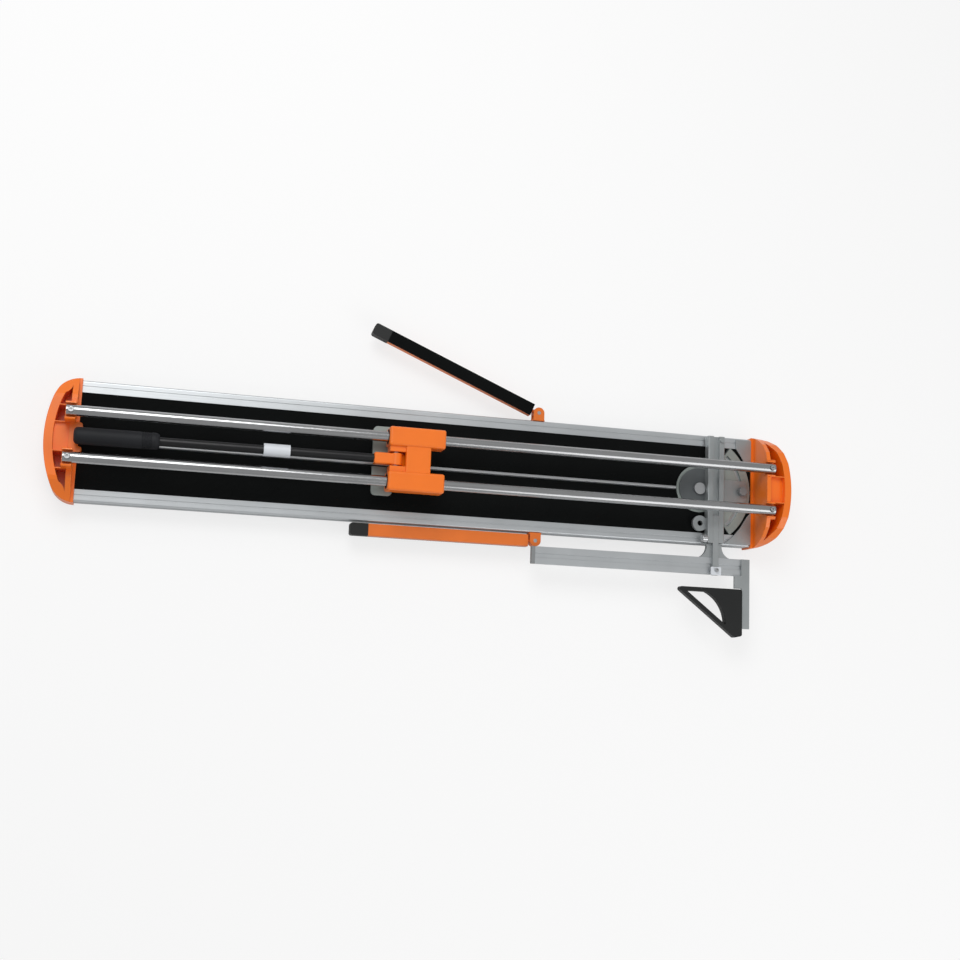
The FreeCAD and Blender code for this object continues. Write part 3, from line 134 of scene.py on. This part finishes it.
def wear_and_highlight_edges_group():
    """Mask that is 1 on sharp corners, broken up by noise."""
    tree, given, result = new_group("wear_and_highlight_edges", [("Radius", 0.001), ("Amount", 0.5)], [("Mask", "NodeSocketFloat")])
    bevel = add(tree, "ShaderNodeBevel", [("Radius", given.outputs["Radius"])], samples=4)
    shape = add(tree, "ShaderNodeNewGeometry")
    dot = add(tree, "ShaderNodeVectorMath", operation="DOT_PRODUCT")
    tree.links.new(bevel.outputs["Normal"], dot.inputs[0])
    tree.links.new(shape.outputs["Normal"], dot.inputs[1])
    corner = narrowed(tree, dot.outputs["Value"], *CORNER_COSINES)
    noise = add(tree, "ShaderNodeTexNoise", [("Vector", stretched(tree, (1, 1, 1)))], Scale=160.0, Detail=4.0)
    patchy = narrowed(tree, noise.outputs["Fac"], *WEAR_AND_HIGHLIGHT_PATCHES)
    both = add(tree, "ShaderNodeMath", [(0, corner), (1, patchy)], operation="MULTIPLY")
    final = add(tree, "ShaderNodeMath", [(0, both.outputs[0]), (1, given.outputs["Amount"])], operation="MULTIPLY")
    tree.links.new(final.outputs[0], result.inputs["Mask"])
    return tree


def grain_group():
    """Fine and coarse noise, as two separate outputs, in the object's own coordinates."""
    tree, given, result = new_group("grain", [("Scale", 400.0), ("Detail", 6.0)],
                                    [("Fine", "NodeSocketFloat"), ("Broad", "NodeSocketFloat")])
    spot = stretched(tree, (1, 1, 1))
    fine = add(tree, "ShaderNodeTexNoise", [("Vector", spot), ("Scale", given.outputs["Scale"]),
                                            ("Detail", given.outputs["Detail"])])
    broad = add(tree, "ShaderNodeTexNoise", [("Vector", spot)], Scale=14.0, Detail=5.0)
    tree.links.new(fine.outputs["Fac"], result.inputs["Fine"])
    tree.links.new(broad.outputs["Fac"], result.inputs["Broad"])
    return tree


def dust_group():
    """Soft patches of dust on faces that look up."""
    tree, given, result = new_group("dust", [("Amount", 0.2)], [("Mask", "NodeSocketFloat")])
    shape = add(tree, "ShaderNodeNewGeometry")
    parts = add(tree, "ShaderNodeSeparateXYZ", [(0, shape.outputs["Normal"])])
    noise = add(tree, "ShaderNodeTexNoise", [("Vector", stretched(tree, (1, 1, 1)))], Scale=9.0, Detail=8.0)
    patch = narrowed(tree, noise.outputs["Fac"], *DUST_PATCHES)
    facing = add(tree, "ShaderNodeMath", [(0, parts.outputs["Z"]), (1, patch)], operation="MULTIPLY", use_clamp=True)
    final = add(tree, "ShaderNodeMath", [(0, facing.outputs[0]), (1, given.outputs["Amount"])], operation="MULTIPLY")
    tree.links.new(final.outputs[0], result.inputs["Mask"])
    return tree


WEAR_AND_HIGHLIGHT_EDGES, GRAIN, DUST = wear_and_highlight_edges_group(), grain_group(), dust_group()


def place_group(tree, group, **values):
    """One use of a group, with its own input values."""
    made = tree.nodes.new("ShaderNodeGroup")
    made.node_tree = group
    for name, value in values.items():
        made.inputs[name].default_value = value
    return made


print("effect groups:", ", ".join(group.name for group in (WEAR_AND_HIGHLIGHT_EDGES, GRAIN, DUST)))

# %% [markdown]
# ## One recipe for painted, moulded and metal finishes
# All the finishes share the same steps: a base colour that varies a little, a second colour on the edges for wear,
# which on the orange paints is also a painted highlight, a thin veil of dust, a gloss that varies with the grain,
# and a bump. Only the numbers differ from one finish to the next, so one function takes the numbers and builds the
# tree.


# %% Finish recipe
DUST_COLOUR = (0.42, 0.40, 0.37)
STREAK_STRENGTH = 0.35
COAT_ROUGHNESS = 0.12
ONE_BAND_PER_UNIT = 0.3142       # scale at which the wave texture makes one band per unit


def mix_colour(tree, amount, first, second):
    """first where amount is 0 and second where it is 1. Either may be an output or a plain colour."""
    made = add(tree, "ShaderNodeMix", data_type="RGBA")
    tree.links.new(amount, made.inputs["Factor"])
    for socket, value in ((6, first), (7, second)):
        if isinstance(value, bpy.types.NodeSocket):
            tree.links.new(value, made.inputs[socket])
        else:
            made.inputs[socket].default_value = (*value, 1)
    return made.outputs[2]


def finish(name, colour, metallic=0.0, rough=(0.3, 0.5), vary=0.15, wear_and_highlight=None, wear_and_highlight_amount=0.5, dust=0.1,
           grain=400.0, bump=0.02, bump_depth=0.0004, coat=0.0, stretch=None, ribs=None, round_edge=0.0006, shine=0.5):
    """A material from one recipe. stretch gives a brushed lay, ribs gives (axis, ribs per metre, depth)."""
    made = bpy.data.materials.new(name)
    made.use_nodes = True
    tree = made.node_tree
    shader = tree.nodes["Principled BSDF"]
    speckle = place_group(tree, GRAIN, Scale=grain)
    dark = tuple(c * (1 - vary) for c in colour)
    light = tuple(min(1.0, c * (1 + vary)) for c in colour)
    look = mix_colour(tree, speckle.outputs["Broad"], dark, light)
    height = speckle.outputs["Fine"]
    if stretch:
        brushed = add(tree, "ShaderNodeTexNoise", [("Vector", stretched(tree, stretch))], Scale=1.0, Detail=6.0)
        height = brushed.outputs["Fac"]
        streak = spread(tree, height, 0.0, STREAK_STRENGTH)
        look = mix_colour(tree, streak, look, dark)
    shader.inputs["Metallic"].default_value = metallic
    # Edge colour: wear, and on the orange paints also a painted highlight along the edges.
    if wear_and_highlight:
        edges = place_group(tree, WEAR_AND_HIGHLIGHT_EDGES, Amount=wear_and_highlight_amount)
        look = mix_colour(tree, edges.outputs["Mask"], look, wear_and_highlight)
    if dust:
        veil = place_group(tree, DUST, Amount=dust)
        look = mix_colour(tree, veil.outputs["Mask"], look, DUST_COLOUR)
    tree.links.new(look, shader.inputs["Base Color"])
    tree.links.new(spread(tree, height, *rough), shader.inputs["Roughness"])
    if ribs:
        axis, count, depth = ribs
        scale = [0, 0, 0]
        scale["XYZ".index(axis)] = count
        wave = add(tree, "ShaderNodeTexWave", [("Vector", stretched(tree, scale))], wave_type="BANDS",
                   bands_direction=axis, wave_profile="SIN", Scale=ONE_BAND_PER_UNIT)
        rib = add(tree, "ShaderNodeMath", [(0, wave.outputs["Fac"])], operation="MULTIPLY")
        rib.inputs[1].default_value = depth
        blend = add(tree, "ShaderNodeMath", [(0, rib.outputs[0]), (1, height)], operation="ADD")
        height = blend.outputs[0]
    rounded = add(tree, "ShaderNodeBevel", Radius=round_edge, samples=4)
    relief = add(tree, "ShaderNodeBump", [("Height", height), ("Normal", rounded.outputs["Normal"])])
    relief.inputs["Strength"].default_value = bump
    relief.inputs["Distance"].default_value = bump_depth
    tree.links.new(relief.outputs["Normal"], shader.inputs["Normal"])
    shader.inputs["Specular IOR Level"].default_value = shine
    shader.inputs["Coat Weight"].default_value = coat
    shader.inputs["Coat Roughness"].default_value = COAT_ROUGHNESS
    return made


print("finish recipe ready")


# %% [markdown]
# ## The finishes of this tool
# The cast ends, the carriage and the lever head share one warm orange stove paint with a soft gloss. The arms
# are sheet metal in the same paint. The rails are hard chrome with a faint lengthwise polish. The side
# profiles and the fence are extruded aluminium, which is brushed along its length and slightly cloudy.

# %% Finishes
# The pale salmon edge colour of the orange paints is a painted highlight of light catching the rounded edges, broken
# up like wear.
ORANGE, EDGE_WEAR_AND_HIGHLIGHT = (0.95, 0.185, 0.006), (0.70, 0.36, 0.20)
FINISHES = {
    "orange_casting": finish("orange_stove_paint", ORANGE, rough=(0.24, 0.40), vary=0.10, wear_and_highlight=EDGE_WEAR_AND_HIGHLIGHT, wear_and_highlight_amount=0.45,
                             dust=0.0, grain=900.0, bump=0.14, coat=0.25, round_edge=0.0014),
    "orange_paint": finish("orange_sheet_paint", (0.78, 0.17, 0.015), rough=(0.28, 0.44), vary=0.14, wear_and_highlight=EDGE_WEAR_AND_HIGHLIGHT,
                           wear_and_highlight_amount=0.6, dust=0.0, grain=700.0, bump=0.10, coat=0.15, round_edge=0.0008),
    "rail_chrome": finish("hard_chrome", (0.40, 0.405, 0.41), metallic=1.0, rough=(0.14, 0.30), vary=0.12, dust=0.0,
                          stretch=(6, 900, 900), bump=0.04),
    "profile_aluminium": finish("brushed_extrusion", (0.56, 0.585, 0.60), metallic=0.80, rough=(0.30, 0.50), vary=0.14,
                                dust=0.0, stretch=(4, 500, 700), bump=0.10, wear_and_highlight=(0.85, 0.86, 0.88)),
    "fence_aluminium": finish("cast_fence_metal", (0.40, 0.425, 0.43), metallic=0.65, rough=(0.32, 0.56), vary=0.28,
                              dust=0.0, stretch=(160, 30, 160), bump=0.14, wear_and_highlight=(0.80, 0.82, 0.84)),
    "grey_plate": finish("grey_enamel", (0.10, 0.11, 0.115), metallic=0.2, rough=(0.35, 0.55), vary=0.25, dust=0.10,
                         grain=500.0, bump=0.10, wear_and_highlight=(0.52, 0.54, 0.56)),
    "scale_plate": finish("scale_plate_enamel", (0.31, 0.35, 0.33), metallic=0.3, rough=(0.35, 0.55), vary=0.22,
                          dust=0.0, grain=500.0, bump=0.10, wear_and_highlight=(0.62, 0.64, 0.66)),
    "plain_steel": finish("zinc_plated_steel", (0.50, 0.51, 0.52), metallic=1.0, rough=(0.25, 0.45), vary=0.12,
                          dust=0.0, grain=600.0, bump=0.05, wear_and_highlight=(0.75, 0.75, 0.76)),
    "mat_rubber": finish("ribbed_table_rubber", (0.0035, 0.0042, 0.0042), rough=(0.62, 0.85), vary=0.35, dust=0.0,
                         grain=1200.0, bump=0.45, bump_depth=0.0008, ribs=("Y", 420, 2.0), shine=0.08),
    "foot_rubber": finish("foot_rubber", (0.012, 0.012, 0.013), rough=(0.65, 0.85), vary=0.2, dust=0.05, grain=1200.0,
                          bump=0.20, shine=0.3),
    "black_paint": finish("satin_black_paint", (0.006, 0.006, 0.007), rough=(0.30, 0.48), vary=0.15, dust=0.0,
                          grain=800.0, bump=0.06, wear_and_highlight=(0.10, 0.10, 0.11), wear_and_highlight_amount=0.3, shine=0.35),
    "grip_rubber": finish("soft_grip", (0.010, 0.011, 0.0135), rough=(0.52, 0.72), vary=0.25, dust=0.0, grain=1500.0,
                          bump=0.30, shine=0.3),
    "white_plastic": finish("plain_white_plastic", (0.70, 0.73, 0.77), rough=(0.35, 0.50), vary=0.05, dust=0.0,
                            grain=900.0, bump=0.05),
    "grey_plastic": finish("moulded_grey_plastic", (0.24, 0.25, 0.255), rough=(0.40, 0.58), vary=0.15, dust=0.0,
                           grain=1200.0, bump=0.15, wear_and_highlight=(0.45, 0.46, 0.47), wear_and_highlight_amount=0.4),
    "black_plastic": finish("moulded_black_plastic", (0.010, 0.011, 0.011), rough=(0.42, 0.62), vary=0.25, dust=0.0,
                            grain=1800.0, bump=0.35, wear_and_highlight=(0.06, 0.06, 0.06), wear_and_highlight_amount=0.3, shine=0.35),
    "bronze": finish("bearing_bronze", (0.50, 0.33, 0.13), metallic=1.0, rough=(0.28, 0.45), vary=0.15, dust=0.0,
                     stretch=(6, 500, 500), bump=0.04),
    "carbide": finish("ground_carbide", (0.30, 0.30, 0.32), metallic=1.0, rough=(0.18, 0.34), vary=0.10, dust=0.0,
                      grain=900.0, bump=0.05),
}
slot_of = {row["node"]: row["material_slot"] for row in frame["record"]["subparts"]}
OWN_FINISH = {"angle_plate": "scale_plate", "breaker_foot": "scale_plate"}
for name, node in frame["nodes"].items():
    node.data.materials.clear()
    node.data.materials.append(FINISHES[OWN_FINISH.get(name, slot_of[name])])
print("finishes:", len(FINISHES))

# %% [markdown]
# ## Floor, backdrop and light
# A pale floor under soft, even light suits a product of black, orange and metal. The floor's camera rays are
# mostly a plain white, so the background stays clean while the tool still throws a soft shadow. Metal shows
# whatever surrounds it, so the room that it reflects is kept a middle grey: chrome in an all-white room looks
# like white paint.


# %% Floor and light
FLOOR_HALF, FLOOR_VEIL = 8.0, 0.72
ROOM_GLOW, BACKDROP_GLOW = 0.50, 1.0


def pale_surface(name, veil):
    """A matt white that looks plain white to the camera, but still takes a shadow."""
    made = bpy.data.materials.new(name)
    made.use_nodes = True
    tree = made.node_tree
    shader = tree.nodes["Principled BSDF"]
    shader.inputs["Base Color"].default_value = (0.90, 0.90, 0.90, 1)
    shader.inputs["Roughness"].default_value = 0.9
    glow = add(tree, "ShaderNodeEmission", Strength=1.0)
    ray = add(tree, "ShaderNodeLightPath")
    part = add(tree, "ShaderNodeMath", [(0, ray.outputs["Is Camera Ray"])], operation="MULTIPLY")
    part.inputs[1].default_value = veil
    mix = add(tree, "ShaderNodeMixShader", [("Fac", part.outputs[0])])
    tree.links.new(shader.outputs[0], mix.inputs[1])
    tree.links.new(glow.outputs[0], mix.inputs[2])
    tree.links.new(mix.outputs[0], tree.nodes["Material Output"].inputs["Surface"])
    return made


floor_mesh = bmesh.new()
bmesh.ops.create_grid(floor_mesh, x_segments=1, y_segments=1, size=FLOOR_HALF)
floor_data = bpy.data.meshes.new("floor")
floor_mesh.to_mesh(floor_data)
floor_mesh.free()
floor_data.materials.append(pale_surface("pale_floor", FLOOR_VEIL))
floor = bpy.data.objects.new("floor", floor_data)
bpy.context.collection.objects.link(floor)

world = bpy.data.worlds.new("studio")
world.use_nodes = True
scene.world = world
sky = world.node_tree
ray = add(sky, "ShaderNodeLightPath")
seen = add(sky, "ShaderNodeMath", [(0, ray.outputs["Is Camera Ray"]), (1, ray.outputs["Is Transmission Ray"])],
           operation="MAXIMUM")
strength = spread(sky, seen.outputs[0], ROOM_GLOW, BACKDROP_GLOW)
sky.links.new(strength, sky.nodes["Background"].inputs["Strength"])
sky.nodes["Background"].inputs["Color"].default_value = (1, 1, 1, 1)


def soft_box(name, spot, aim, size, power):
    """A square area light that faces a point."""
    made = bpy.data.objects.new(name, bpy.data.lights.new(name, "AREA"))
    made.data.size = size
    made.data.energy = power
    made.location = spot
    made.rotation_euler = (Vector(aim) - Vector(spot)).to_track_quat("-Z", "Y").to_euler()
    bpy.context.collection.objects.link(made)


soft_box("key_box", (-0.8, 1.6, 2.6), (0, 0, 0), 1.6, 42)
soft_box("fill_box", (1.6, -1.8, 2.0), (0, 0, 0), 1.8, 18)
print("floor, world and 2 soft boxes")

# %% [markdown]
# ## End

# %% End
print("done")
